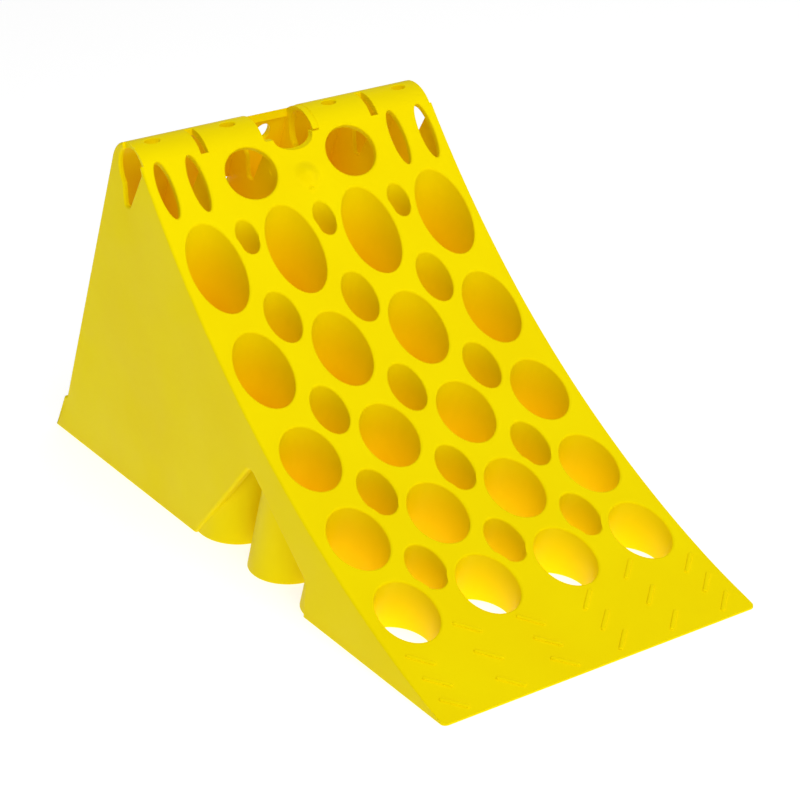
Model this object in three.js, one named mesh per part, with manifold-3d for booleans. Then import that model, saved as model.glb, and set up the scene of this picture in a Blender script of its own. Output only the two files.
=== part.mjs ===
// Wheel chock for trucks and trailers: one hollow plastic moulding, modelled as its named regions.
// Millimetres, +Z up, +X toward the toe, Y across. The origin is the middle of the footprint.
import * as THREE from 'three';
import { mergeVertices } from 'three/addons/utils/BufferGeometryUtils.js';
import Module from 'manifold-3d';

const wasm = await Module();
wasm.setup();

// ---- Driving dimensions -------------------------------------------------------------------
const LENGTH = 470;
const WIDTH = 200;
const degrees = Math.PI / 180;

const RAMP_RADIUS = 554;              // concave face that the tyre rolls onto
const TOE_SLOPE = 16.6 * degrees;     // slope of that face at the toe
const TOE_HEIGHT = 1;                 // blunt front edge
const RIDGE_SLOPE = 55.4 * degrees;   // slope where the face runs into the ridge
const RIDGE_RADIUS = 22.5;            // rounded ridge along the top
const REAR_LEAN = 30.3 * degrees;     // rear wall from vertical, top toward the toe
const FOOT_HEIGHT = 27;               // flared band along the bottom of the rear wall
const FOOT_PROUD = 4;
const PLATE = 4;                      // thickness of the ramp, rear wall and ridge
const SIDE_PLATE = 5;                 // side wall at the base; draft thins it upward
const SIDE_DRAFT = 0.7 * degrees;
const HAIRLINE = 0.05;                // between a curved underside and what meets it

const INNER = WIDTH / 2 - SIDE_PLATE; // inner face of each side wall

// Round tubes moulded under the ramp, all leaning the same way
const TUBE_LEAN = 25 * degrees;
const COLUMN_PITCH = 50.7;
const ROW_PITCH = 46.65;
const FIRST_ROW_X = 214.5;
const LARGE_ROWS = { a: 26, b: 23.6, c: 21, d: 21, e: 21 };   // half length of each row's bore
const LARGE_HALF_WIDTH = 16.2;
const LARGE_WALL = 2.4;
const SMALL_ROWS = 4;
const SMALL_SHIFT = 2.7;              // small rows sit just toe-side of midway
const SMALL_HALF_LENGTH = 15.6;
const SMALL_HALF_WIDTH = 10;
const SMALL_WALL = 1.5;
const TOP_SMALL = { x: 205, halfLength: 9.8, halfWidth: 6.5, wall: 1.5 };
const COLUMNS_LARGE = [-1.5, -0.5, 0.5, 1.5];
const COLUMNS_SMALL = [-1, 0, 1];

// Openings in the upper part of the ramp and in the ridge
const HAND_HOLE = { x: 182.6, y: 33.3, radius: 16 };
const LENS_SLOT = { x: 181.8, ys: [67, 87], halfLength: 17.6, halfWidth: 4.8 };
const GATE_DOME = { x: 186, radius: 7.2, height: 3 };
const RIDGE_HOLE = { x: 158, ys: [34, 82.3], halfWidth: 4.7, halfLength: 3.3 };
const RIDGE_SLOT = { y: 56.8, width: 4.7, from: 153, to: 172.2 };
const GRIP = { from: 143.5, halfWidth: 18.5, z: 216, notchHalfWidth: 13, notchDepth: 7 };
const BORE = { x: 157, z: 210.5, radius: 14.1, from: 6 * degrees, to: 219 * degrees };
const BORE_TAIL = { rearX: 145.6, frontX: 151.5, z: 188, shoulderZ: 195 };
const GRIP_SECTION = 21.5;            // half width of the ridge region round the grip opening
const WEBS = { grip: 16, slot: 57.5 };
const WEB = { thickness: 3, bottom: 165, front: 200 };
const REAR_EYE = { z: 211.5, halfHeight: 6.5, halfWidth: 5.2 };
const REAR_HOLE = { y: 19.8, z: 183, radius: 4.6 };

// Notch in each side wall, and the anti-slip bars on the toe
const NOTCH = { rearX: 201.4, apexX: 279, apexZ: 71, frontX: 334, frontZ: 24, toeX: 329 };
const BAR = { length: 16, width: 2.4, height: 0.9 };
const BAR_COLUMNS = [
  { y: 18.4, xs: [429.5, 444.8, 460] },
  { y: 52.2, xs: [420.7, 440.1, 459.8] },
  { y: 86.6, xs: [429.5, 444.8, 459.8] },
];

// Cuts that part the ramp and the rear wall into regions
const REAR_TOP_Z = 190;
const STRIPS = ['ramp_apron', 'ramp_row_a', 'ramp_row_b', 'ramp_row_c', 'ramp_row_d', 'ramp_row_e', 'toe_plate'];
const APRON_END_X = 194;

const FACETS = { ramp: 24, ridge: 12, large: 10, small: 7 };
const REACH = 400;                    // longer than any cutter needs to be

// ---- Derived shape of the side view ---------------------------------------------------------
const rampCentre = {
  x: LENGTH + RAMP_RADIUS * Math.sin(TOE_SLOPE),
  z: TOE_HEIGHT + RAMP_RADIUS * Math.cos(TOE_SLOPE),
};
const ridgeCentre = {
  x: rampCentre.x - (RAMP_RADIUS + RIDGE_RADIUS) * Math.sin(RIDGE_SLOPE),
  z: rampCentre.z - (RAMP_RADIUS + RIDGE_RADIUS) * Math.cos(RIDGE_SLOPE),
};

// Point of the ramp where its slope is the given angle, moved down through the plate by depth
function rampAtSlope(slope, depth = 0) {
  const radius = RAMP_RADIUS + depth;
  return new THREE.Vector2(rampCentre.x - radius * Math.sin(slope), rampCentre.z - radius * Math.cos(slope));
}

function rampSlopeAtX(x) {
  return Math.asin((rampCentre.x - x) / RAMP_RADIUS);
}

function rampZ(x) {
  return rampCentre.z - RAMP_RADIUS * Math.cos(rampSlopeAtX(x));
}

// Point of the ridge, at an angle from +X; inset moves it inward
function ridgePoint(angle, inset = 0) {
  const radius = RIDGE_RADIUS - inset;
  return new THREE.Vector2(ridgeCentre.x + radius * Math.cos(angle), ridgeCentre.z + radius * Math.sin(angle));
}

// Outer face of the rear wall at height z; depth moves it forward through the wall
function rearX(z, depth = 0) {
  const tangent = ridgePoint(Math.PI - REAR_LEAN);
  return tangent.x - (tangent.y - z) * Math.tan(REAR_LEAN) + depth / Math.cos(REAR_LEAN);
}

function steps(count, from, to, point) {
  return Array.from({ length: count + 1 }, (_, i) => point(from + ((to - from) * i) / count));
}

const ridgeArc = (inset) =>
  steps(FACETS.ridge, Math.PI - REAR_LEAN, Math.PI / 2 - RIDGE_SLOPE, (angle) => ridgePoint(angle, inset));
const rampArc = (depth) => steps(FACETS.ramp, RIDGE_SLOPE, TOE_SLOPE, (slope) => rampAtSlope(slope, depth));

// ---- Solids -----------------------------------------------------------------------------------
function toSolid(geometry) {
  const bare = geometry.clone();
  bare.deleteAttribute('normal');
  bare.deleteAttribute('uv');
  const merged = mergeVertices(bare, 1e-4);
  return new wasm.Manifold(new wasm.Mesh({
    numProp: 3,
    vertProperties: new Float32Array(merged.attributes.position.array),
    triVerts: new Uint32Array(merged.index.array),
  }));
}

function fromSolid(solid) {
  const mesh = solid.getMesh();
  const geometry = new THREE.BufferGeometry();
  geometry.setAttribute('position', new THREE.BufferAttribute(new Float32Array(mesh.vertProperties), 3));
  geometry.setIndex(new THREE.BufferAttribute(new Uint32Array(mesh.triVerts), 1));
  geometry.computeVertexNormals();
  return geometry;
}

// An outline drawn in the side view (x, z), as thick as y0 to y1
function acrossGeometry(points, y0, y1) {
  const geometry = new THREE.ExtrudeGeometry(new THREE.Shape(points), { depth: y1 - y0, bevelEnabled: false });
  geometry.rotateX(Math.PI / 2);
  geometry.translate(0, y1, 0);
  return geometry;
}

const across = (points, y0, y1) => toSolid(acrossGeometry(points, y0, y1));

function box(x0, x1, y0, y1, z0, z1) {
  const geometry = new THREE.BoxGeometry(x1 - x0, y1 - y0, z1 - z0);
  geometry.translate((x0 + x1) / 2, (y0 + y1) / 2, (z0 + z1) / 2);
  return toSolid(geometry);
}

// An oval rod whose axis leans toward the toe, centred on a point of its axis
function leaningRod(x, y, z, lean, halfLength, halfWidth, segments, reach = REACH) {
  const oval = new THREE.Shape().absellipse(0, 0, halfLength, halfWidth, 0, 2 * Math.PI, false, 0);
  const geometry = new THREE.ExtrudeGeometry(oval, {
    depth: 2 * reach, bevelEnabled: false, curveSegments: segments, steps: 1,
  });
  geometry.translate(0, 0, -reach);
  geometry.rotateY(lean);
  geometry.translate(x, y, z);
  return toSolid(geometry);
}

const joined = (solids) => solids.reduce((all, next) => all.add(next));
const mirrored = (make) => [make(-1), make(1)];

// ---- Places of the tubes ------------------------------------------------------------------------
const largeTubes = Object.entries(LARGE_ROWS).flatMap(([row, halfLength], i) =>
  COLUMNS_LARGE.map((column, j) => ({
    name: `tube_${row}${j + 1}`,
    x: FIRST_ROW_X + i * ROW_PITCH,
    y: column * COLUMN_PITCH,
    halfLength, halfWidth: LARGE_HALF_WIDTH, wall: LARGE_WALL, segments: FACETS.large,
  })));

const smallTubes = COLUMNS_SMALL.flatMap((column, j) =>
  Array.from({ length: SMALL_ROWS }, (_, i) => ({
    name: `small_tube_${i + 1}${'abc'[j]}`,
    x: FIRST_ROW_X + (i + 0.5) * ROW_PITCH + SMALL_SHIFT,
    y: column * COLUMN_PITCH,
    halfLength: SMALL_HALF_LENGTH, halfWidth: SMALL_HALF_WIDTH, wall: SMALL_WALL, segments: FACETS.small,
  })));

const topTubes = COLUMNS_SMALL.map((column, j) => ({
  name: `small_tube_0${'abc'[j]}`,
  x: TOP_SMALL.x,
  y: column * COLUMN_PITCH,
  halfLength: TOP_SMALL.halfLength, halfWidth: TOP_SMALL.halfWidth, wall: TOP_SMALL.wall,
  segments: FACETS.small,
}));

const tubes = [...largeTubes, ...smallTubes, ...topTubes];

function tubeRod(tube, wall) {
  return leaningRod(tube.x, tube.y, rampZ(tube.x), TUBE_LEAN,
    tube.halfLength + wall, tube.halfWidth + wall, tube.segments);
}

// A tube runs from just under the ramp plate down to the base plane
const underRamp = across([
  ...rampArc(PLATE + HAIRLINE).filter((point) => point.y > 0),
  new THREE.Vector2(rampAtSlope(RIDGE_SLOPE).x - REACH / 2, 0),
  new THREE.Vector2(rampAtSlope(RIDGE_SLOPE).x - REACH / 2, rampAtSlope(RIDGE_SLOPE).y),
].reverse(), -INNER, INNER);

function tubeSolid(tube) {
  return tubeRod(tube, tube.wall).subtract(tubeRod(tube, 0)).intersect(underRamp);
}

// ---- Ramp -----------------------------------------------------------------------------------------
// A rod square to the ramp surface at x
function squareRod(x, y, halfLength, halfWidth, segments, reach) {
  return leaningRod(x, y, rampZ(x), rampSlopeAtX(x), halfLength, halfWidth, segments, reach);
}

function gateDome() {
  const { x, radius, height } = GATE_DOME;
  const sphereRadius = (radius * radius + height * height) / (2 * height);
  const cap = new THREE.SphereGeometry(sphereRadius, 24, 24);
  cap.rotateX(Math.PI / 2);
  cap.translate(0, 0, height - sphereRadius);
  const solid = toSolid(cap);
  const keep = new THREE.BoxGeometry(3 * radius, 3 * radius, 2 * height);
  const dome = solid.intersect(toSolid(keep));
  const placed = fromSolid(dome);
  placed.rotateY(rampSlopeAtX(x));
  placed.translate(x, 0, rampZ(x));
  return toSolid(placed);
}

// Raised bars in a chevron that points to the toe
function treadBars() {
  return BAR_COLUMNS.flatMap(({ y, xs }) => xs.flatMap((x) => mirrored((side) => {
    const bar = new THREE.BoxGeometry(BAR.length, BAR.width, 2 * BAR.height);
    bar.rotateZ(-side * Math.PI / 4);
    bar.rotateY(rampSlopeAtX(x));
    bar.translate(x, side * y, rampZ(x));
    return toSolid(bar);
  })));
}

function rampPlate() {
  const plate = across([
    ...rampArc(0),
    new THREE.Vector2(LENGTH, 0),
    rampAtSlope(Math.acos(rampCentre.z / (RAMP_RADIUS + PLATE)), PLATE),
    ...rampArc(PLATE).filter((point) => point.y > 0).reverse(),
  ].reverse(), -INNER, INNER);
  const openings = [
    ...tubes.map((tube) => tubeRod(tube, 0)),
    ...mirrored((side) => squareRod(HAND_HOLE.x, side * HAND_HOLE.y, HAND_HOLE.radius, HAND_HOLE.radius,
      FACETS.large, 2 * PLATE)),
    ...LENS_SLOT.ys.flatMap((y) => mirrored((side) => squareRod(LENS_SLOT.x, side * y, LENS_SLOT.halfLength,
      LENS_SLOT.halfWidth, FACETS.small, 2 * PLATE))),
  ];
  return joined([plate, gateDome(), ...treadBars()]).subtract(joined(openings));
}

function rampStrips() {
  const plate = rampPlate();
  const rowEnds = Object.keys(LARGE_ROWS).map((_, i) => FIRST_ROW_X + (i + 0.5) * ROW_PITCH);
  const cuts = [rampAtSlope(RIDGE_SLOPE).x, APRON_END_X, ...rowEnds, LENGTH];
  return STRIPS.map((name, i) => [name,
    plate.intersect(box(cuts[i], cuts[i + 1], -WIDTH, WIDTH, -1, REACH))]);
}

// ---- Ridge, rear wall and foot ------------------------------------------------------------------
// A level rod through the rear wall at height z
function levelRod(z, y, halfHeight, halfWidth) {
  return leaningRod(rearX(z), y, z, -Math.PI / 2, halfHeight, halfWidth, FACETS.small, 2.5 * PLATE);
}

function ridgeShell() {
  const rampTop = rampAtSlope(RIDGE_SLOPE).x;
  const shell = across([
    new THREE.Vector2(rearX(REAR_TOP_Z), REAR_TOP_Z),
    ...ridgeArc(0),
    ...ridgeArc(PLATE).reverse(),
    new THREE.Vector2(rearX(REAR_TOP_Z, PLATE), REAR_TOP_Z),
  ].reverse(), -INNER, INNER);
  const grip = new THREE.Shape();
  grip.moveTo(-GRIP.halfWidth, RIDGE_RADIUS);
  grip.lineTo(-GRIP.halfWidth, 0);
  grip.lineTo(-GRIP.notchHalfWidth, 0);
  grip.absellipse(0, 0, GRIP.notchHalfWidth, GRIP.notchDepth, Math.PI, 2 * Math.PI, false, 0);
  grip.lineTo(GRIP.halfWidth, 0);
  grip.lineTo(GRIP.halfWidth, RIDGE_RADIUS);
  const gripCutter = new THREE.ExtrudeGeometry(grip, {
    depth: RIDGE_RADIUS * 2, bevelEnabled: false, curveSegments: FACETS.small,
  });
  gripCutter.rotateX(Math.PI / 2);
  gripCutter.rotateZ(Math.PI / 2);
  gripCutter.translate(GRIP.from, 0, GRIP.z);
  const cutters = [
    toSolid(gripCutter),
    ...RIDGE_HOLE.ys.flatMap((y) => mirrored((side) => leaningRod(RIDGE_HOLE.x, side * y,
      ridgeCentre.z + RIDGE_RADIUS, 0, RIDGE_HOLE.halfLength, RIDGE_HOLE.halfWidth, FACETS.small, 2 * PLATE))),
    ...mirrored((side) => box(RIDGE_SLOT.from, RIDGE_SLOT.to, side * RIDGE_SLOT.y - RIDGE_SLOT.width / 2,
      side * RIDGE_SLOT.y + RIDGE_SLOT.width / 2, ridgeCentre.z, REACH)),
    levelRod(REAR_EYE.z, 0, REAR_EYE.halfHeight, REAR_EYE.halfWidth),
  ];
  return shell.intersect(box(0, rampTop, -INNER, INNER, REAR_TOP_Z, REACH)).subtract(joined(cutters));
}

function ridgeSections() {
  const shell = ridgeShell();
  const ends = [-INNER, -GRIP_SECTION, GRIP_SECTION, INNER];
  return ['ridge_left', 'ridge_grip', 'ridge_right'].map((name, i) => [name,
    shell.intersect(box(0, LENGTH, ends[i], ends[i + 1], 0, REACH))]);
}

function rearWall() {
  const wall = across([
    new THREE.Vector2(rearX(FOOT_HEIGHT), FOOT_HEIGHT),
    new THREE.Vector2(rearX(FOOT_HEIGHT, PLATE), FOOT_HEIGHT),
    new THREE.Vector2(rearX(REAR_TOP_Z, PLATE), REAR_TOP_Z),
    new THREE.Vector2(rearX(REAR_TOP_Z), REAR_TOP_Z),
  ], -INNER, INNER);
  const holes = mirrored((side) => levelRod(REAR_HOLE.z, side * REAR_HOLE.y, REAR_HOLE.radius, REAR_HOLE.radius));
  return wall.subtract(joined(holes));
}

const footOutline = [
  new THREE.Vector2(0, 0),
  new THREE.Vector2(2 * PLATE, 0),
  new THREE.Vector2(rearX(FOOT_HEIGHT, PLATE), FOOT_HEIGHT),
  new THREE.Vector2(rearX(FOOT_HEIGHT) - FOOT_PROUD, FOOT_HEIGHT),
];

// ---- Webs under the ridge, and side walls with the rod passage ----------------------------------
// The passage for a rod: round, with a narrow tail at the bottom
function bore(y0, y1) {
  const head = steps(2 * FACETS.large, BORE.from, BORE.to, (angle) => new THREE.Vector2(
    BORE.x + BORE.radius * Math.cos(angle), BORE.z + BORE.radius * Math.sin(angle)));
  return across([
    ...head,
    new THREE.Vector2(BORE_TAIL.rearX, BORE_TAIL.shoulderZ),
    new THREE.Vector2(BORE_TAIL.rearX, BORE_TAIL.z),
    new THREE.Vector2(BORE_TAIL.frontX, BORE_TAIL.z),
  ], y0, y1);
}

// A web fills the space between the rear wall, the ridge, the ramp plate and the first row of tubes
function web(y) {
  const y0 = y - WEB.thickness / 2;
  const y1 = y + WEB.thickness / 2;
  const depth = PLATE + HAIRLINE;
  const inside = across([
    new THREE.Vector2(rearX(WEB.bottom, depth), WEB.bottom),
    new THREE.Vector2(WEB.front, WEB.bottom),
    ...rampArc(depth).filter((point) => point.x < WEB.front).reverse(),
    ...ridgeArc(depth).reverse().slice(1),
  ], y0, y1);
  const outsides = tubes.map((tube) => tubeRod(tube, tube.wall + HAIRLINE));
  return inside.subtract(joined([bore(y0 - 1, y1 + 1), ...outsides]));
}

function webs() {
  return Object.entries(WEBS).flatMap(([name, y]) => [
    [`${name}_web_left`, web(-y)],
    [`${name}_web_right`, web(y)],
  ]);
}

const sideOutline = [
  new THREE.Vector2(0, 0),
  new THREE.Vector2(NOTCH.rearX, 0),
  new THREE.Vector2(NOTCH.apexX, NOTCH.apexZ),
  new THREE.Vector2(NOTCH.frontX, NOTCH.frontZ),
  new THREE.Vector2(NOTCH.toeX, 0),
  new THREE.Vector2(LENGTH, 0),
  ...rampArc(0).reverse(),
  ...ridgeArc(0).reverse().slice(1),
  new THREE.Vector2(rearX(FOOT_HEIGHT), FOOT_HEIGHT),
  new THREE.Vector2(rearX(FOOT_HEIGHT) - FOOT_PROUD, FOOT_HEIGHT),
];

// The outer face leans inward by the draft, the inner face stays upright
function sideWall(side) {
  const [y0, y1] = side < 0 ? [-WIDTH / 2, -INNER] : [INNER, WIDTH / 2];
  const geometry = acrossGeometry(sideOutline, y0, y1);
  const position = geometry.attributes.position;
  for (let i = 0; i < position.count; i += 1) {
    if (Math.abs(position.getY(i)) > INNER + SIDE_PLATE / 2) {
      position.setY(i, side * (WIDTH / 2 - position.getZ(i) * Math.tan(SIDE_DRAFT)));
    }
  }
  return toSolid(geometry).subtract(bore(y0 - 1, y1 + 1));
}

function sideWalls() {
  const halves = [['rear', 0, NOTCH.apexX], ['toe', NOTCH.apexX, LENGTH]];
  return mirrored((side) => side).flatMap((side) => {
    const wall = sideWall(side);
    const hand = side < 0 ? 'left' : 'right';
    return halves.map(([part, x0, x1]) => [`side_wall_${hand}_${part}`,
      wall.intersect(box(x0, x1, -WIDTH, WIDTH, -1, REACH))]);
  });
}

// ---- Assembly -------------------------------------------------------------------------------------
const plastic = { color: 0xf2d900, roughness: 0.42, metalness: 0 };

const regions = [
  ...sideWalls(),
  ['rear_foot', across(footOutline, -INNER, INNER)],
  ['rear_wall', rearWall()],
  ...ridgeSections(),
  ...webs(),
  ...rampStrips(),
  ...tubes.map((tube) => [tube.name, tubeSolid(tube)]),
];

const group = new THREE.Group();
for (const [name, solid] of regions) {
  const mesh = new THREE.Mesh(fromSolid(solid), new THREE.MeshStandardMaterial(plastic));
  mesh.name = name;
  mesh.position.x = -LENGTH / 2;
  group.add(mesh);
}

export default group;
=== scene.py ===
import math
import bpy
import bmesh
import numpy as np
from mathutils import Matrix, Vector


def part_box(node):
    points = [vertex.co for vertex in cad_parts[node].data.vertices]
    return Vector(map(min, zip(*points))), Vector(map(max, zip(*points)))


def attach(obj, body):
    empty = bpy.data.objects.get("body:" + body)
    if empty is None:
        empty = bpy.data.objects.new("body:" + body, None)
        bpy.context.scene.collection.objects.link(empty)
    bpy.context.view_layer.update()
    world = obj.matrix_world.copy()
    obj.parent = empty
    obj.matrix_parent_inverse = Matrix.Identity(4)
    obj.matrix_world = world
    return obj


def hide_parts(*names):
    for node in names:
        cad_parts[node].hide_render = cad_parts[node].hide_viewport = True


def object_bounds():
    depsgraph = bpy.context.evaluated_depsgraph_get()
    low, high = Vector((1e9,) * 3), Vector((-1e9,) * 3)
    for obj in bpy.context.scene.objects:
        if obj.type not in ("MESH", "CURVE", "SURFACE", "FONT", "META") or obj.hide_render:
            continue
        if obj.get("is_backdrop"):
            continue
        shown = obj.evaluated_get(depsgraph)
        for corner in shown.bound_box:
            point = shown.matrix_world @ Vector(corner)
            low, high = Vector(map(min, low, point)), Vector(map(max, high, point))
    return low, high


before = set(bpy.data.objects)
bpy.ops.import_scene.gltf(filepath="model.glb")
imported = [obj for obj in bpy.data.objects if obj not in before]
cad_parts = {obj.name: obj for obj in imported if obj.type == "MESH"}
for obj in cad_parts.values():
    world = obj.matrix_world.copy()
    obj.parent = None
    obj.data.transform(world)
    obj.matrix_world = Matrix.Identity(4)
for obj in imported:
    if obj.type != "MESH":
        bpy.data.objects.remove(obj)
cad_low, cad_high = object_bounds()

# The shapes below are worked out in millimetres from the rear foot, while model.glb's frame is in metres
# from the middle of the footprint.
MM = 0.001
REAR_X = cad_low.x / MM
LENGTH = (cad_high.x - cad_low.x) / MM
WIDTH = (cad_high.y - cad_low.y) / MM


def centre_of(node):
    low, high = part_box(node)
    return (low + high) / 2


# ---- Driving dimensions ---------------------------------------------------------------------------
RAMP_RADIUS = 554
TOE_SLOPE = math.radians(16.6)
TOE_HEIGHT = 1
RIDGE_SLOPE = math.radians(55.4)
RIDGE_RADIUS = 22.5
REAR_LEAN = math.radians(30.3)
FOOT_HEIGHT = 27
FOOT_PROUD = 4
PLATE = 4
SIDE_PLATE = 5
SIDE_DRAFT = math.radians(0.7)
EDGE_ROUND = 1.3

TUBE_LEAN = math.radians(25)
ROW_PITCH = 46.65
FIRST_ROW_X = 214.5
LARGE_HALF_LENGTHS = [26, 23.6, 21, 21, 21]
LARGE_HALF_WIDTH = 16.2
TUBE_WALL = 2.6
SMALL_SHIFT = 2.7
SMALL_HALF_LENGTH = 15.6
SMALL_HALF_WIDTH = 10
TOP_SMALL_X = 205
TOP_SMALL_HALF_LENGTH = 9.8
TOP_SMALL_HALF_WIDTH = 6.5
HOLE_ROUND = 1.2
SMALL_TUBE_WALL = 1.6
NEIGHBOUR_WALL = 4.8          # the small bores stop this far from the large ones
TOP_NEIGHBOUR_WALL = 4.25     # the same in the top row
FLUSH_Y = 98.3                # how far the outer tubes bulge, almost flush with the side wall

HAND_HOLE_X, HAND_HOLE_Y, HAND_HOLE_RADIUS = 182.6, 33.3, 16
LENS_X, LENS_YS, LENS_HALF_LENGTH, LENS_HALF_WIDTH = 181.8, [67, 87], 17.6, 4.8
DOME_X, DOME_RADIUS, DOME_HEIGHT = 187.5, 7.2, 4
NUB_SHIFT, NUB_Y, NUB_RADIUS, NUB_HEIGHT = 5.6, -0.6, 1.8, 1.4
RIDGE_HOLE_X, RIDGE_HOLE_YS, RIDGE_HOLE_HALF_WIDTH, RIDGE_HOLE_HALF_LENGTH = 158, [34, 82.3], 4.7, 3.3
SLOT_Y, SLOT_WIDTH, SLOT_FROM = 56.8, 4.7, 153
SLOT_ROUND, REAR_ROUND, RIDGE_HOLE_ROUND = 0.4, 0.6, 0.8
GRIP_FROM, GRIP_LENGTH, GRIP_HALF_WIDTH, GRIP_Z = 141.5, 45, 18.5, 216
GRIP_NOTCH, GRIP_NOTCH_DEPTH = 13, 7
RIDGE_RECESS = 1.7
BORE_X, BORE_Z, BORE_RADIUS = 157, 210.5, 14.1
BORE_TAIL = [(145.6, 195), (145.6, 188), (151.5, 188)]
BORE_ROUND = 1.4
WEB_YS, WEB_THICKNESS, WEB_BOTTOM, WEB_FRONT = [16, 57.5], 3, 165, 200
REAR_EYE_Z, REAR_EYE_HALF_HEIGHT, REAR_EYE_HALF_WIDTH = 211.5, 7.5, 5.2
REAR_HOLE_Y, REAR_HOLE_Z, REAR_HOLE_RADIUS = 19.8, 180.5, 4.7
TOE_CORNER = 3.5
REACH = 400                   # longer than any cutter needs to be
NOTCH = [(201.4, 0), (279, 71), (334, 24), (329, 0)]
NOTCH_REAR_SLOPE = 1.0928     # how far its rear edge runs for each millimetre that it rises
NOTCH_ROUND = 2
BAR_LENGTH, BAR_WIDTH, BAR_HEIGHT = 16, 2.4, 0.9
BAR_STEPS = [(-2, 0), (BAR_HEIGHT * 0.45, 0), (BAR_HEIGHT * 0.8, 0.25), (BAR_HEIGHT, 0.7)]
BAR_COLUMNS = [(18.4, [429.5, 444.8, 460]), (52.2, [420.7, 440.1, 459.8]), (86.6, [429.5, 444.8, 459.8])]

HALF = WIDTH / 2
INNER = HALF - SIDE_PLATE
RAMP_CX = LENGTH + RAMP_RADIUS * math.sin(TOE_SLOPE)
RAMP_CZ = TOE_HEIGHT + RAMP_RADIUS * math.cos(TOE_SLOPE)
RIDGE_CX = RAMP_CX - (RAMP_RADIUS + RIDGE_RADIUS) * math.sin(RIDGE_SLOPE)
RIDGE_CZ = RAMP_CZ - (RAMP_RADIUS + RIDGE_RADIUS) * math.cos(RIDGE_SLOPE)


# ---- Side view ------------------------------------------------------------------------------------
def ramp_at_slope(slope, depth=0):
    radius = RAMP_RADIUS + depth
    return (RAMP_CX - radius * math.sin(slope), RAMP_CZ - radius * math.cos(slope))


def ramp_slope(x):
    return math.asin((RAMP_CX - x) / RAMP_RADIUS)


def ramp_z(x):
    return RAMP_CZ - RAMP_RADIUS * math.cos(ramp_slope(x))


def ridge_point(angle, inset=0):
    radius = RIDGE_RADIUS - inset
    return (RIDGE_CX + radius * math.cos(angle), RIDGE_CZ + radius * math.sin(angle))


def rear_x(z, depth=0):
    tx, tz = ridge_point(math.pi - REAR_LEAN)
    return tx - (tz - z) * math.tan(REAR_LEAN) + depth / math.cos(REAR_LEAN)


def arc(count, start, end, point):
    return [point(start + (end - start) * i / count) for i in range(count + 1)]


def rounded(points, radii, count=5):
    """The closed outline with a small arc at each corner whose radius isn't 0."""
    out = []
    for i, p in enumerate(points):
        r = radii.get(i, 0)
        if not r:
            out.append(p)
            continue
        p = np.array(p, float)
        a = np.array(points[i - 1], float) - p
        b = np.array(points[(i + 1) % len(points)], float) - p
        a /= np.linalg.norm(a)
        b /= np.linalg.norm(b)
        half = math.acos(max(-1, min(1, float(a @ b)))) / 2
        reach = r / math.tan(half)
        middle = p + (a + b) / np.linalg.norm(a + b) * (r / math.sin(half))
        start = p + a * reach - middle
        end = p + b * reach - middle
        turn = math.pi - 2 * half
        for k in range(count + 1):
            s = math.sin(turn * (1 - k / count)) / math.sin(turn)
            e = math.sin(turn * k / count) / math.sin(turn)
            out.append(tuple(middle + start * s + end * e))
    return out


def offset(points, distance, taper=None):
    """The closed outline moved outward by distance, square to its edges; less where taper says so."""
    p = np.array(points, float)
    edge = np.roll(p, -1, 0) - p
    edge /= np.linalg.norm(edge, axis=1)[:, None]
    area = np.sum(p[:, 0] * np.roll(p[:, 1], -1) - np.roll(p[:, 0], -1) * p[:, 1])
    normal = np.stack([edge[:, 1], -edge[:, 0]], 1) * (1 if area > 0 else -1)
    before = np.roll(normal, 1, 0)
    mitre = before + normal
    mitre /= (1 + np.sum(before * normal, 1))[:, None]
    if taper is not None:
        mitre *= taper(p[:, 0])[:, None]
    return p + mitre * distance


def quarter_round(radius, count=5):
    """How far a rounded mouth spreads and how far it is sunk, from its widest to its narrowest."""
    angles = [math.pi / 2 * k / count for k in range(count + 1)]
    return [(radius * (1 - math.sin(a)), radius * (1 - math.cos(a))) for a in angles]


def toe_taper(x):
    """The edges get sharper toward the thin toe."""
    return np.clip((LENGTH - x) / 40, 0.25, 1)


def outer_outline():
    ramp = arc(110, TOE_SLOPE, RIDGE_SLOPE, ramp_at_slope)
    ridge = arc(40, math.pi / 2 - RIDGE_SLOPE, math.pi - REAR_LEAN, ridge_point)
    foot_x = rear_x(FOOT_HEIGHT)
    foot = [(foot_x, FOOT_HEIGHT), (foot_x - FOOT_PROUD, FOOT_HEIGHT), (0, 0), (LENGTH, 0)]
    points = ramp + ridge[1:] + foot
    n = len(points)
    return rounded(points, {n - 4: 1.2, n - 3: 1.6, n - 2: 0.8})


def inner_outline():
    ramp = [p for p in arc(110, TOE_SLOPE, RIDGE_SLOPE, lambda s: ramp_at_slope(s, PLATE)) if p[1] > 0]
    ridge = arc(32, math.pi / 2 - RIDGE_SLOPE, math.pi - REAR_LEAN, lambda a: ridge_point(a, PLATE))
    floor = [(rear_x(-6, PLATE), -6), (ramp[0][0], -6)]
    return ramp + ridge[1:] + floor


# ---- Solids ---------------------------------------------------------------------------------------
def mesh_object(name, points, faces):
    mesh = bpy.data.meshes.new(name)
    mesh.from_pydata([tuple(map(float, p)) for p in points], [], faces)
    obj = bpy.data.objects.new(name, mesh)
    bpy.context.scene.collection.objects.link(obj)
    bm = bmesh.new()
    bm.from_mesh(mesh)
    bmesh.ops.triangulate(bm, faces=bm.faces[:])
    bmesh.ops.recalc_face_normals(bm, faces=bm.faces)
    if bm.calc_volume(signed=True) < 0:
        bmesh.ops.reverse_faces(bm, faces=bm.faces)
    bm.to_mesh(mesh)
    bm.free()
    return obj


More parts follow.
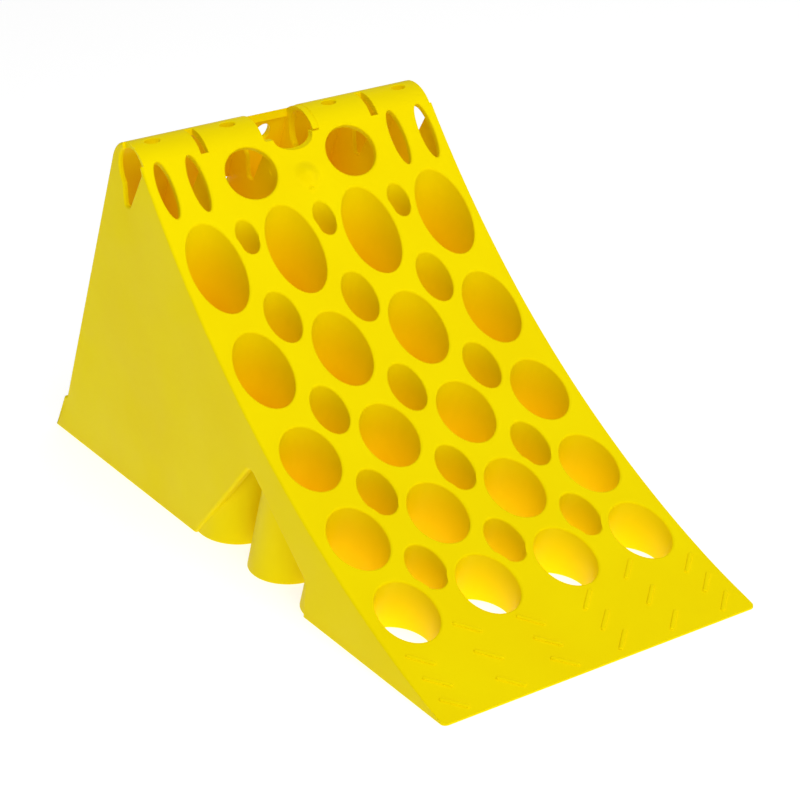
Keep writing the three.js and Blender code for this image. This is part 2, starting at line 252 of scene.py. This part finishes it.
def loft(name, rings, fan=False):
    """A closed solid through rings of equally many points. fan closes its ends round a middle point."""
    n = len(rings[0])
    points = [p for ring in rings for p in ring]
    faces = []
    for k in range(len(rings) - 1):
        for i in range(n):
            j = (i + 1) % n
            faces.append((k * n + i, k * n + j, (k + 1) * n + j, (k + 1) * n + i))
    first = list(range(n))
    last = list(range((len(rings) - 1) * n, len(rings) * n))
    if fan:
        for ends in (first, last):
            centre = len(points)
            points.append(tuple(np.mean([points[i] for i in ends], axis=0)))
            faces += [(ends[i], ends[(i + 1) % n], centre) for i in range(n)]
    else:
        faces += [tuple(first[::-1]), tuple(last)]
    return mesh_object(name, points, faces)


def combine(target, others, operation):
    """target joined with, cut by or kept inside each of the others, which are then gone."""
    for other in others:
        modifier = target.modifiers.new("combine", "BOOLEAN")
        modifier.operation = operation
        modifier.solver = "MANIFOLD"
        modifier.object = other
        graph = bpy.context.evaluated_depsgraph_get()
        made = bpy.data.meshes.new_from_object(target.evaluated_get(graph))
        target.modifiers.clear()
        old = target.data
        target.data = made
        bpy.data.meshes.remove(old)
        remove(other)
    return target


def remove(obj):
    mesh = obj.data
    bpy.data.objects.remove(obj)
    bpy.data.meshes.remove(mesh)


def gathered(objects):
    """Solids that don't touch one another, as one mesh."""
    first = objects[0]
    bm = bmesh.new()
    for obj in objects:
        bm.from_mesh(obj.data)
    bm.to_mesh(first.data)
    bm.free()
    for obj in objects[1:]:
        remove(obj)
    return first


def across(name, outline, y0, y1):
    return loft(name, [flat_ring(outline, y) for y in (y0, y1)])


def outer_y(z, side):
    return side * (HALF - z * math.tan(SIDE_DRAFT))


def side_ring(outline, side, sunk):
    """The outline laid on one side face and sunk into it."""
    return [(x, outer_y(z, side) - side * sunk, z) for x, z in outline]


def flat_ring(outline, y):
    return [(x, y, z) for x, z in outline]


def envelope(shrink=0.0, edge=EDGE_ROUND):
    """The outside of the chock as one full body, its long edges rounded."""
    outline = outer_outline()
    rings = []
    for side in (-1, 1):
        steps = [k / 5 for k in range(6)]
        if side > 0:
            steps = steps[::-1]
        for s in steps:
            angle = math.pi / 2 * (1 - s)
            inset = edge * (1 - math.cos(angle)) + shrink
            sunk = edge * (1 - math.sin(angle)) + shrink
            rings.append(side_ring(offset(outline, -inset, toe_taper), side, sunk))
    return loft("envelope", rings)


def ring_through_ramp(x, y, lean, half_length, half_width, depth, count):
    """Where an oval rod whose axis leans by lean meets the ramp surface moved down by depth."""
    z = ramp_z(x)
    ring = []
    for k in range(count):
        angle = 2 * math.pi * k / count
        u = half_length * math.cos(angle)
        px = x + u * math.cos(lean) - RAMP_CX
        pz = z - u * math.sin(lean) - RAMP_CZ
        b = px * math.sin(lean) + pz * math.cos(lean)
        c = px * px + pz * pz - (RAMP_RADIUS + depth) ** 2
        t = -b - math.sqrt(b * b - c)
        ring.append((px + t * math.sin(lean) + RAMP_CX, y + half_width * math.sin(angle),
                     pz + t * math.cos(lean) + RAMP_CZ))
    return ring


def ring_at_height(x, y, lean, half_length, half_width, height, count):
    z = ramp_z(x)
    ring = []
    for k in range(count):
        angle = 2 * math.pi * k / count
        u = half_length * math.cos(angle)
        bx = x + u * math.cos(lean)
        bz = z - u * math.sin(lean)
        t = (height - bz) / math.cos(lean)
        ring.append((bx + t * math.sin(lean), y + half_width * math.sin(angle), height))
    return ring


def bore_through_ramp(x, y, lean, half_length, half_width, count, bottom=None):
    """The space of a hole, flared at its mouth so that the cut edge comes out rounded."""
    def ring(spread, depth):
        return ring_through_ramp(x, y, lean, half_length + spread, half_width + spread, depth, count)

    rings = [ring(HOLE_ROUND + 0.05, -6), ring(HOLE_ROUND + 0.05, -0.02)]
    for k, (spread, sunk) in enumerate(quarter_round(HOLE_ROUND)):
        rings.append(ring(spread, sunk + 0.02 * (k == 0)))
    if bottom is None:
        rings.append(ring(0, 9))
    else:
        rings.append(ring_at_height(x, y, lean, half_length, half_width, bottom, count))
    return loft("bore", rings, fan=True)


def rod_under_ramp(x, y, half_length, half_width, count, depth=2, bottom=0.0):
    rings = [
        ring_through_ramp(x, y, TUBE_LEAN, half_length, half_width, depth, count),
        ring_at_height(x, y, TUBE_LEAN, half_length, half_width, bottom, count),
    ]
    return loft("rod", rings, fan=True)


# ---- Places of the tubes --------------------------------------------------------------------------
column_ys = [centre_of("tube_a%d" % (j + 1)).y / MM for j in range(4)]
small_ys = [centre_of("small_tube_1%s" % c).y / MM for c in "abc"]
large = []
for i, half_length in enumerate(LARGE_HALF_LENGTHS):
    for j, y in enumerate(column_ys):
        large.append((FIRST_ROW_X + i * ROW_PITCH, y, half_length, LARGE_HALF_WIDTH, j in (0, 3)))
small = []
for y in small_ys:
    small.append((TOP_SMALL_X, y, TOP_SMALL_HALF_LENGTH, TOP_SMALL_HALF_WIDTH))
    for i in range(4):
        x = FIRST_ROW_X + (i + 0.5) * ROW_PITCH + SMALL_SHIFT
        small.append((x, y, SMALL_HALF_LENGTH, SMALL_HALF_WIDTH))


# ---- Shell ----------------------------------------------------------------------------------------
def bore_outline():
    head = arc(40, math.radians(6), math.radians(219),
               lambda a: (BORE_X + BORE_RADIUS * math.cos(a), BORE_Z + BORE_RADIUS * math.sin(a)))
    outline = head + BORE_TAIL
    return rounded(outline, {len(head): 3, len(head) + 1: 1.8, len(head) + 2: 2.2})


def rod_passage(side):
    """The teardrop passage through one side wall, its mouth flared."""
    outline = bore_outline()
    rings = [flat_ring(offset(outline, BORE_ROUND), side * (HALF + 4))]
    for spread, sunk in quarter_round(BORE_ROUND):
        rings.append(side_ring(offset(outline, spread), side, sunk))
    rings.append(flat_ring(outline, side * (INNER - 4)))
    return loft("passage", rings)


def side_notch(side):
    """The notch in one side wall, its edges rounded off."""
    points = [(NOTCH[0][0] - 5 * NOTCH_REAR_SLOPE, -5)] + NOTCH[1:] + [(NOTCH[3][0] - 1, -5)]
    outline = rounded(points, {1: 6, 2: 5})
    rings = [flat_ring(offset(outline, NOTCH_ROUND), side * (HALF + 5))]
    for spread, sunk in quarter_round(NOTCH_ROUND):
        rings.append(side_ring(offset(outline, spread), side, sunk))
    rings.append(flat_ring(outline, side * (INNER - 0.5)))
    return loft("notch", rings)


def toe_corner(side):
    """What is outside the rounded corner of the toe, in plan."""
    x, y = LENGTH - TOE_CORNER, HALF - TOE_CORNER
    plan = arc(10, 0, math.pi / 2, lambda a: (x + TOE_CORNER * math.cos(a), y + TOE_CORNER * math.sin(a)))
    plan += [(x, HALF + 3), (LENGTH + 3, HALF + 3), (LENGTH + 3, y)]
    return loft("corner", [[(px, side * py, z) for px, py in plan] for z in (-3, 15)])


def web(y0, y1, ridge_depth, top=REACH):
    """A web across the space under the ridge, up to the height top, with the rod passage through it."""
    depth = PLATE - 1
    outline = [(rear_x(WEB_BOTTOM, depth), WEB_BOTTOM), (WEB_FRONT, WEB_BOTTOM)]
    ramp = arc(60, TOE_SLOPE, RIDGE_SLOPE, lambda s: ramp_at_slope(s, depth))
    outline += [p for p in ramp if p[0] < WEB_FRONT]
    outline += arc(40, math.pi / 2 - RIDGE_SLOPE, math.pi - REAR_LEAN,
                   lambda a: ridge_point(a, ridge_depth))
    solid = across("web", outline, y0, y1)
    block = [(0, top), (REACH, top), (REACH, top + REACH), (0, top + REACH)]
    above = across("above", block, y0 - 2, y1 + 2)
    steps = [(y0 - 1, 0.9), (y0 + 0.01, 0.9), (y0 + 0.3, 0.35), (y0 + 0.9, 0)]
    steps += [(y1 - 0.9, 0), (y1 - 0.3, 0.35), (y1 - 0.01, 0.9), (y1 + 1, 0.9)]
    bore = loft("web_bore", [flat_ring(offset(bore_outline(), spread), y) for y, spread in steps])
    return combine(solid, [bore, above], "DIFFERENCE")


shell = envelope()
cavity = across("cavity", inner_outline(), -INNER, INNER)
shell = combine(shell, [cavity], "DIFFERENCE")
shell = combine(shell, [side_notch(-1), side_notch(1), toe_corner(-1), toe_corner(1)], "DIFFERENCE")

# The grip opening comes before the webs, since the inner two stand in it
grip = [(-GRIP_HALF_WIDTH, RIDGE_RADIUS * 2), (-GRIP_HALF_WIDTH, 0), (-GRIP_NOTCH, 0)]
grip += arc(16, math.pi * 1.02, math.pi * 1.98,
            lambda a: (GRIP_NOTCH * math.cos(a), GRIP_NOTCH_DEPTH * math.sin(a)))[1:-1]
grip += [(GRIP_NOTCH, 0), (GRIP_HALF_WIDTH, 0), (GRIP_HALF_WIDTH, RIDGE_RADIUS * 2)]
grip = rounded(grip, {1: 1.5, len(grip) - 2: 1.5})
grip_ends = (GRIP_FROM, GRIP_FROM + GRIP_LENGTH)
grip_cut = loft("grip", [[(x, y, GRIP_Z + z) for y, z in grip] for x in grip_ends])
shell = combine(shell, [grip_cut], "DIFFERENCE")
inner, outer = ([y - WEB_THICKNESS / 2, y + WEB_THICKNESS / 2] for y in WEB_YS)
webs = [
    web(-inner[1], -inner[0], PLATE - 1, top=GRIP_Z - 3),
    web(inner[0], GRIP_HALF_WIDTH + 0.2, 0.3),
    web(-outer[1], -outer[0], PLATE - 1),
    web(outer[0], outer[1], PLATE - 1),
]
for each in webs:
    shell = combine(shell, [each], "UNION")

# Tubes, moulded onto the underside of the ramp and kept inside the outer faces
outer_rods = []
for x, y, half_length, half_width, outermost in large:
    wide = FLUSH_Y - abs(y) if outermost else half_width + TUBE_WALL
    outer_rods.append(rod_under_ramp(x, y, half_length + TUBE_WALL, wide, 80))
for x, y, half_length, half_width in small:
    outer_rods.append(rod_under_ramp(x, y, half_length + SMALL_TUBE_WALL,
                                     half_width + SMALL_TUBE_WALL, 56))
tubes = combine(outer_rods[0], outer_rods[1:], "UNION")
tubes = combine(tubes, [envelope(shrink=0.6, edge=0.5)], "INTERSECT")
body = combine(shell, [tubes], "UNION")

# Raised bars and the gate dome
bars = []
for y, xs in BAR_COLUMNS:
    for x in xs:
        for side in (-1, 1):
            slope = ramp_slope(x)
            rings = []
            for high, shrink in BAR_STEPS:
                ring = []
                for k in range(28):
                    angle = 2 * math.pi * k / 28
                    end = math.copysign(1, math.cos(angle)) * (BAR_LENGTH - BAR_WIDTH) / 2
                    a = end + (BAR_WIDTH / 2 - shrink) * math.cos(angle)
                    b = (BAR_WIDTH / 2 - shrink) * math.sin(angle)
                    c, s = math.cos(-side * math.pi / 4), math.sin(-side * math.pi / 4)
                    u, v = a * c - b * s, a * s + b * c
                    ring.append((x + u * math.cos(slope) + high * math.sin(slope), side * y + v,
                                 ramp_z(x) - u * math.sin(slope) + high * math.cos(slope)))
                rings.append(ring)
            bars.append(loft("bar", rings))
body = combine(body, [gathered(bars)], "UNION")


def dome(x, y, radius, height):
    """A low round swelling of the ramp surface, its foot running out softly."""
    slope = ramp_slope(x)
    rings = []
    for k in range(13):
        t = k / 12
        reach = radius * (1.25 - 1.25 * t) if k < 12 else radius * 0.03
        high = height * (math.cos(math.pi * min(1, reach / (radius * 1.25))) + 1) / 2
        rings.append([(x + reach * math.cos(a) * math.cos(slope) + high * math.sin(slope),
                       y + reach * math.sin(a),
                       ramp_z(x) - reach * math.cos(a) * math.sin(slope) + high * math.cos(slope))
                      for a in [2 * math.pi * i / 48 for i in range(48)]])
    foot = [(px - 2 * math.sin(slope), py, pz - 2 * math.cos(slope)) for px, py, pz in rings[0]]
    return loft("dome", [foot] + rings, fan=True)


domes = [
    dome(DOME_X, 0, DOME_RADIUS, DOME_HEIGHT),
    dome(DOME_X + NUB_SHIFT, NUB_Y, NUB_RADIUS, NUB_HEIGHT),
]
body = combine(body, domes, "UNION")

# ---- Openings -------------------------------------------------------------------------------------
large_bores = [bore_through_ramp(x, y, TUBE_LEAN, hl, hw, 96, bottom=-5) for x, y, hl, hw, _ in large]
small_bores = []
for top_row, wall in ((True, TOP_NEIGHBOUR_WALL), (False, NEIGHBOUR_WALL)):
    places = [place for place in small if (place[0] == TOP_SMALL_X) == top_row]
    bores = [bore_through_ramp(x, y, TUBE_LEAN, hl, hw, 64, bottom=-5) for x, y, hl, hw in places]
    rods = [rod_under_ramp(x, y, hl + wall, hw + wall, 96, depth=-8, bottom=-6)
            for x, y, hl, hw, _ in large]
    small_bores.append(combine(gathered(bores), rods, "DIFFERENCE"))
body = combine(body, [gathered(large_bores)], "DIFFERENCE")
body = combine(body, small_bores, "DIFFERENCE")

plate_bores = []
for side in (-1, 1):
    plate_bores.append(bore_through_ramp(HAND_HOLE_X, side * HAND_HOLE_Y, ramp_slope(HAND_HOLE_X),
                                         HAND_HOLE_RADIUS, HAND_HOLE_RADIUS, 96))
    for y in LENS_YS:
        plate_bores.append(bore_through_ramp(LENS_X, side * y, ramp_slope(LENS_X),
                                             LENS_HALF_LENGTH, LENS_HALF_WIDTH, 64))
body = combine(body, [gathered(plate_bores)], "DIFFERENCE")
body = combine(body, [rod_passage(-1), rod_passage(1)], "DIFFERENCE")


def flared_rod(surface_point, outward, up_axis, half_up, half_side, depth, rounding):
    """An oval rod sunk depth into a face from surface_point, its mouth flared."""
    origin, outward, up_axis = (np.array(v, float) for v in (surface_point, outward, up_axis))
    side_axis = np.cross(outward, up_axis)
    steps = [(4, rounding), (0.02, rounding)]
    steps += [(-sunk, spread) for spread, sunk in quarter_round(rounding)[1:]]
    steps.append((-depth, 0))
    rings = []
    for at, extra in steps:
        ring = []
        for k in range(48):
            angle = 2 * math.pi * k / 48
            ring.append(origin + outward * at + up_axis * (half_up + extra) * math.cos(angle)
                        + side_axis * (half_side + extra) * math.sin(angle))
        rings.append(ring)
    return loft("rod", rings, fan=True)


# Rear wall: the eye behind the grip opening and a round hole beside each of the inner webs
rear_out = (-math.cos(REAR_LEAN), 0, math.sin(REAR_LEAN))
rear_up = (math.sin(REAR_LEAN), 0, math.cos(REAR_LEAN))
rear_cuts = [flared_rod((rear_x(REAR_EYE_Z), 0, REAR_EYE_Z), rear_out, rear_up,
                        REAR_EYE_HALF_HEIGHT, REAR_EYE_HALF_WIDTH, 9, REAR_ROUND)]
for side in (-1, 1):
    rear_cuts.append(flared_rod((rear_x(REAR_HOLE_Z), side * REAR_HOLE_Y, REAR_HOLE_Z), rear_out, rear_up,
                                REAR_HOLE_RADIUS, REAR_HOLE_RADIUS, 7, REAR_ROUND))

# Ridge: small oval holes along the top and a slot over each shoulder
ridge_cuts = []
angle = math.acos((RIDGE_HOLE_X - RIDGE_CX) / RIDGE_RADIUS)
top_x, top_z = ridge_point(angle)
ridge_out = (math.cos(angle), 0, math.sin(angle))
ridge_up = (-math.sin(angle), 0, math.cos(angle))
for y in RIDGE_HOLE_YS:
    for side in (-1, 1):
        ridge_cuts.append(flared_rod((top_x, side * y, top_z), ridge_out, ridge_up,
                                     RIDGE_HOLE_HALF_LENGTH, RIDGE_HOLE_HALF_WIDTH, 8, RIDGE_HOLE_ROUND))


def over_ridge(y_low, y_high):
    """A slot across the shoulder of the ridge, down to the ramp, with rounded upper edges."""
    rings = []
    start = math.acos((SLOT_FROM - RIDGE_CX) / RIDGE_RADIUS)
    end = math.pi / 2 - RIDGE_SLOPE - 0.001
    angles = [start + (end - start) * k / 14 for k in range(15)]
    steps = [(4, SLOT_ROUND), (0.02, SLOT_ROUND)]
    steps += [(-sunk, spread) for spread, sunk in quarter_round(SLOT_ROUND, 4)[1:]]
    steps.append((-8, 0))
    for at, extra in steps:
        ring = []
        radius = RIDGE_RADIUS + at
        spread = extra / RIDGE_RADIUS
        near = [a + spread * (1 if i == 0 else -1 if i == 14 else 0) for i, a in enumerate(angles)]
        for y, along in ((y_low - extra, near), (y_high + extra, near[::-1])):
            for a in along:
                ring.append((RIDGE_CX + radius * math.cos(a), y, RIDGE_CZ + radius * math.sin(a)))
        rings.append(ring)
    return loft("slot", rings)


for side in (-1, 1):
    ridge_cuts.append(over_ridge(side * SLOT_Y - SLOT_WIDTH / 2, side * SLOT_Y + SLOT_WIDTH / 2))

# The rounded end of the ridge sits a little inside the side faces
recesses = []
for side in (-1, 1):
    sector = [(RIDGE_CX, RIDGE_CZ)]
    sector += arc(12, math.pi / 2 - RIDGE_SLOPE, math.radians(100), lambda a: ridge_point(a, -5))
    rings = [flat_ring(sector, side * (HALF + 3)), side_ring(sector, side, RIDGE_RECESS)]
    recesses.append(loft("recess", rings))

body = combine(body, [gathered(rear_cuts), gathered(ridge_cuts), gathered(recesses)], "DIFFERENCE")

body.name = "chock_body"
body.data.name = "chock_body"
fit = cad_high.z / MM / max(v.co.z for v in body.data.vertices)
to_frame = Matrix.Translation((REAR_X, 0, 0)) @ Matrix.Diagonal((1, 1, fit, 1))
body.data.transform(Matrix.Scale(MM, 4) @ to_frame)
body.data.update()

# ---- Shading --------------------------------------------------------------------------------------
# Smooth all over, with sharp edges, and the flat side faces each keep their own normal
body.data.shade_smooth()
bm = bmesh.new()
bm.from_mesh(body.data)
bmesh.ops.remove_doubles(bm, verts=bm.verts, dist=2e-6)
bmesh.ops.dissolve_degenerate(bm, edges=bm.edges, dist=1e-6)
bmesh.ops.triangulate(bm, faces=[f for f in bm.faces if len(f.verts) > 4])
for edge in bm.edges:
    if edge.is_manifold and edge.calc_face_angle(0) > math.radians(38):
        edge.smooth = False
bm.normal_update()
side_normal = Vector((0, math.cos(SIDE_DRAFT), math.sin(SIDE_DRAFT)))
for face in bm.faces:
    if Vector((face.normal.x, abs(face.normal.y), face.normal.z)).dot(side_normal) > 0.99999:
        face.smooth = False
bm.to_mesh(body.data)
bm.free()


def hollow_depths(mesh):
    """Millimetres below the ramp surface of each vertex inside a bore or the shell, and 0 outside."""
    flat = np.empty(len(mesh.vertices) * 3)
    mesh.vertices.foreach_get("co", flat)
    x, y, z = (flat.reshape(-1, 3) / MM - (REAR_X, 0, 0)).T
    depth = np.hypot(x - RAMP_CX, z - RAMP_CZ) - RAMP_RADIUS
    slack = 0.2
    clear_of_notch = (np.abs(y) < 68) | (z > 150)
    in_shell = (np.abs(y) <= INNER + slack) & (depth > PLATE - slack) & clear_of_notch
    in_shell &= (x - rear_x(0, PLATE)) * math.cos(REAR_LEAN) - z * math.sin(REAR_LEAN) > -slack
    in_bore = np.zeros(len(x), bool)
    for bx, by, half_length, half_width in [row[:4] for row in large] + small:
        u = (x - bx) * math.cos(TUBE_LEAN) - (z - ramp_z(bx)) * math.sin(TUBE_LEAN)
        in_bore |= (u / half_length) ** 2 + ((y - by) / half_width) ** 2 < 1.19
    return np.where(in_shell | in_bore, np.maximum(depth, 0), 0)


# The depth below the ramp sets where the painted shade and the painted glow go
hollow = body.data.attributes.new("hollow", "FLOAT", "POINT")
hollow.data.foreach_set("value", hollow_depths(body.data))
weighted = body.modifiers.new("weighted", "WEIGHTED_NORMAL")
weighted.mode = "FACE_AREA"
weighted.weight = 80
weighted.keep_sharp = True


# ---- Materials ------------------------------------------------------------------------------------
def plastic():
    """Yellow polyethylene, coloured all through: satin, with a fine moulded grain, faintly uneven, and
    with a painted warm shade and a painted glow deep in the hollows.
    """
    material = bpy.data.materials.new("yellow_plastic")
    material.use_nodes = True
    nodes, links = material.node_tree.nodes, material.node_tree.links
    shader = nodes["Principled BSDF"]
    shader.inputs["IOR"].default_value = 1.5
    shader.inputs["Specular IOR Level"].default_value = 0.03
    shader.inputs["Specular Tint"].default_value = (1.0, 0.88, 0.25, 1)
    # The emission carries only the painted glow in the hollows
    shader.inputs["Emission Strength"].default_value = 1
    place = nodes.new("ShaderNodeTexCoord")

    def noise(scale, detail, stretch=(1, 1, 1)):
        mapping = nodes.new("ShaderNodeMapping")
        mapping.inputs["Scale"].default_value = stretch
        links.new(place.outputs["Object"], mapping.inputs["Vector"])
        texture = nodes.new("ShaderNodeTexNoise")
        texture.inputs["Scale"].default_value = scale
        texture.inputs["Detail"].default_value = detail
        links.new(mapping.outputs["Vector"], texture.inputs["Vector"])
        return texture.outputs["Fac"]

    def remap(value, low, high, to_low, to_high):
        node = nodes.new("ShaderNodeMapRange")
        numbers = {"From Min": low, "From Max": high, "To Min": to_low, "To Max": to_high}
        for socket, number in numbers.items():
            node.inputs[socket].default_value = number
        links.new(value, node.inputs["Value"])
        return node.outputs["Result"]

    def mixed(factor, first, second):
        node = nodes.new("ShaderNodeMix")
        node.data_type = "RGBA"
        links.new(factor, node.inputs["Factor"])
        for socket, colour in ((node.inputs["A"], first), (node.inputs["B"], second)):
            if isinstance(colour, tuple):
                socket.default_value = colour
            else:
                links.new(colour, socket)
        return node.outputs["Result"]

    # Colour: slightly uneven pigment. Down in the hollows the base colour carries a painted warm shade
    # and the emission a painted orange glow, standing in for light that comes through the plastic
    pigment = mixed(remap(noise(16, 5), 0.35, 0.65, 0, 1), (0.975, 0.785, 0.0, 1), (0.955, 0.75, 0.0, 1))
    hollow = nodes.new("ShaderNodeAttribute")
    hollow.attribute_name = "hollow"
    painted_light_depth = remap(hollow.outputs["Fac"], 8, 75, 0, 1)
    links.new(mixed(painted_light_depth, pigment, (0.985, 0.66, 0.0, 1)), shader.inputs["Base Color"])
    # Painted glow: an orange emission that grows with the depth in the hollows
    painted_glow_colour = mixed(painted_light_depth, (0.13, 0.102, 0.0, 1), (0.075, 0.036, 0.0, 1))
    painted_glow = mixed(remap(hollow.outputs["Fac"], 1, 36, 0, 1), (0.0, 0.0, 0.0, 1), painted_glow_colour)
    links.new(painted_glow, shader.inputs["Emission Color"])

    # Gloss: satin, a little duller in patches and along faint drag marks
    patches = remap(noise(28, 6), 0.3, 0.7, 0.36, 0.48)
    drags = remap(noise(60, 3, (0.35, 6, 0.35)), 0.45, 0.75, 0.0, 0.08)
    gloss = nodes.new("ShaderNodeMath")
    gloss.operation = "ADD"
    links.new(patches, gloss.inputs[0])
    links.new(drags, gloss.inputs[1])
    links.new(gloss.outputs["Value"], shader.inputs["Roughness"])

    # Relief: fine moulded grain over a very slight waviness
    grain = nodes.new("ShaderNodeBump")
    grain.inputs["Strength"].default_value = 0.12
    grain.inputs["Distance"].default_value = 0.0002
    links.new(noise(1100, 3), grain.inputs["Height"])
    waves = nodes.new("ShaderNodeBump")
    waves.inputs["Strength"].default_value = 0.12
    waves.inputs["Distance"].default_value = 0.002
    links.new(noise(22, 2), waves.inputs["Height"])
    links.new(waves.outputs["Normal"], grain.inputs["Normal"])
    links.new(grain.outputs["Normal"], shader.inputs["Normal"])
    return material


body.data.materials.clear()
body.data.materials.append(plastic())
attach(body, "root")
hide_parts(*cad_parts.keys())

# ---- Stage ----------------------------------------------------------------------------------------
floor_mesh = bpy.data.meshes.new("floor")
floor_mesh.from_pydata([(-6, -6, 0), (6, -6, 0), (6, 6, 0), (-6, 6, 0)], [], [(0, 1, 2, 3)])
floor = bpy.data.objects.new("floor", floor_mesh)
bpy.context.scene.collection.objects.link(floor)
floor.location.z = -0.0002
floor_material = bpy.data.materials.new("pale_floor")
floor_material.use_nodes = True
shader = floor_material.node_tree.nodes["Principled BSDF"]
shader.inputs["Base Color"].default_value = (0.5, 0.5, 0.5, 1)
shader.inputs["Roughness"].default_value = 0.9
shader.inputs["Emission Color"].default_value = (1, 1, 1, 1)
shader.inputs["Emission Strength"].default_value = 0.74
floor.data.materials.append(floor_material)
floor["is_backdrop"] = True


def soft_light(name, place, target, size, power):
    lamp = bpy.data.lights.new(name, "AREA")
    lamp.shape = "SQUARE"
    lamp.size = size
    lamp.energy = power
    obj = bpy.data.objects.new(name, lamp)
    bpy.context.scene.collection.objects.link(obj)
    obj.location = place
    obj.rotation_mode = "QUATERNION"
    obj.rotation_quaternion = (Vector(target) - Vector(place)).to_track_quat("-Z", "Y")


soft_light("key_light", (1.35, -0.15, 1.35), (0, 0, 0.1), 0.9, 15)
soft_light("top_light", (0.3, 0.5, 1.7), (0, 0, 0.1), 1.6, 4)
world = bpy.data.worlds.new("studio")
bpy.context.scene.world = world
world.use_nodes = True
world.node_tree.nodes["Background"].inputs["Color"].default_value = (1, 1, 1, 1)
world.node_tree.nodes["Background"].inputs["Strength"].default_value = 0.36
bpy.context.scene.view_settings.view_transform = "Standard"

# ---- Camera ---------------------------------------------------------------------------------------
AZIMUTH, ELEVATION, ROLL = math.radians(59.269), math.radians(23.322), math.radians(-3.301)
DISTANCE = 1.30328
FOCAL = 2207.8                # in pixels of an image 800 wide
target = Vector((0.0047, 0.02283, 0.06463))
back = Vector((math.sin(AZIMUTH) * math.cos(ELEVATION), -math.cos(AZIMUTH) * math.cos(ELEVATION),
               math.sin(ELEVATION)))
right = (-back).cross(Vector((0, 0, 1))).normalized()
up = right.cross(-back)
rolled_right = right * math.cos(ROLL) + up * math.sin(ROLL)
rolled_up = -right * math.sin(ROLL) + up * math.cos(ROLL)
camera_data = bpy.data.cameras.new("camera")
camera_data.sensor_width = 36
camera_data.lens = FOCAL / 800 * camera_data.sensor_width
camera_data.clip_start = 0.05
camera_data.clip_end = 50
camera = bpy.data.objects.new("camera", camera_data)
bpy.context.scene.collection.objects.link(camera)
turn = Matrix((rolled_right, rolled_up, back)).transposed()
camera.matrix_world = Matrix.Translation(target + back * DISTANCE) @ turn.to_4x4()
bpy.context.scene.camera = camera

low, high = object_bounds()
